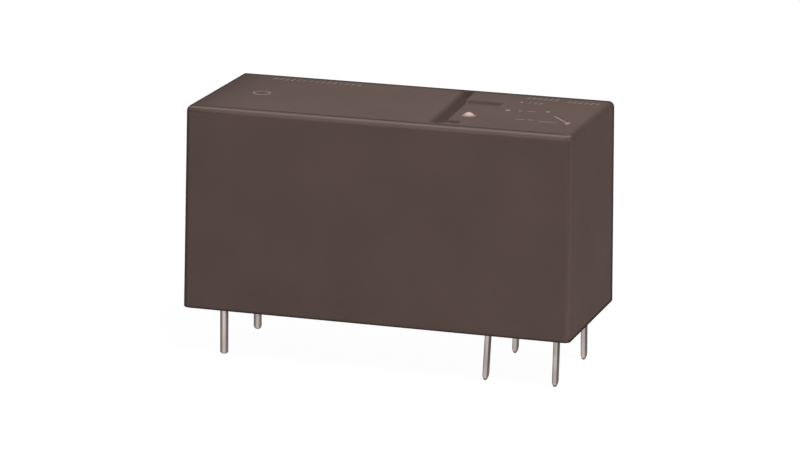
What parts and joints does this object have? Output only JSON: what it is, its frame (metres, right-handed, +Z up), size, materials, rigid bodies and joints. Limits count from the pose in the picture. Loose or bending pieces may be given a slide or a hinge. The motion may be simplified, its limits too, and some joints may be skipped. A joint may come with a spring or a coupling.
{
  "type": "pcb power relay",
  "caption": "Low-profile sealed power relay in a brown moulded case with solder pins; a hinged armature drives a card that closes a normally open contact.",
  "frame": {"origin": "middle of the case's footprint, on the board's surface where the base's feet seat", "axes": "+X along the case from the coil end to the contact end, +Y across it to the rear, +Z up away from the board"},
  "size_m": [0.0288, 0.0126, 0.0189],
  "materials": {
    "case_plastic": "fine matt moulded thermoplastic",
    "base_plastic": "moulded thermoplastic",
    "resin": "cast sealing resin",
    "bobbin_plastic": "moulded thermoplastic",
    "copper_wire": "enamelled copper wire",
    "film": "polyester film",
    "tinned_metal": "tinned copper alloy",
    "soft_iron": "zinc plated soft iron",
    "spring_steel": "bright spring steel",
    "card_plastic": "moulded thermoplastic",
    "rivet_metal": "plated rivet",
    "copper_alloy": "rolled copper alloy",
    "contact_metal": "silver alloy"
  },
  "bodies": {
    "housing": {"case": "case_plastic", "base": "base_plastic", "sealing_resin": "resin", "bobbin": "bobbin_plastic", "coil_winding": "copper_wire", "coil_tape": "film", "coil_pin_front": "tinned_metal", "coil_pin_rear": "tinned_metal", "core": "soft_iron", "yoke": "soft_iron", "hinge_spring": "spring_steel", "com_terminal": "tinned_metal", "spring_rivets": "rivet_metal", "no_terminal": "tinned_metal", "fixed_contact": "contact_metal"},
    "armature": {"armature": "soft_iron"},
    "card": {"card": "card_plastic"},
    "contact_arm": {"moving_spring": "copper_alloy", "moving_contact": "contact_metal"}
  },
  "joints": [
    {"name": "armature_pivot", "type": "hinge", "parent": "housing", "child": "armature", "pos_m": [-0.0019, 0, 0.01237], "axis": [0, -1, 0], "range_deg": [0, 4], "stiffness_Nm_per_rad": 0.004, "springref_deg": -17.19},
    {"name": "card_slide", "type": "slide", "parent": "housing", "child": "card", "axis": [1, 0, 0], "range_m": [0, 0.00037]},
    {"name": "contact_flex", "type": "hinge", "parent": "housing", "child": "contact_arm", "pos_m": [0.00801, 0, 0.0047], "axis": [0, 1, 0], "range_deg": [0, 7.3], "deforming": ["moving_spring"]}
  ],
  "couplings": [
    {"joint": "card_slide", "follows": "armature_pivot", "m_per_rad": 0.0052686},
    {"joint": "contact_flex", "follows": "armature_pivot", "ratio": 1.8217}
  ]
}
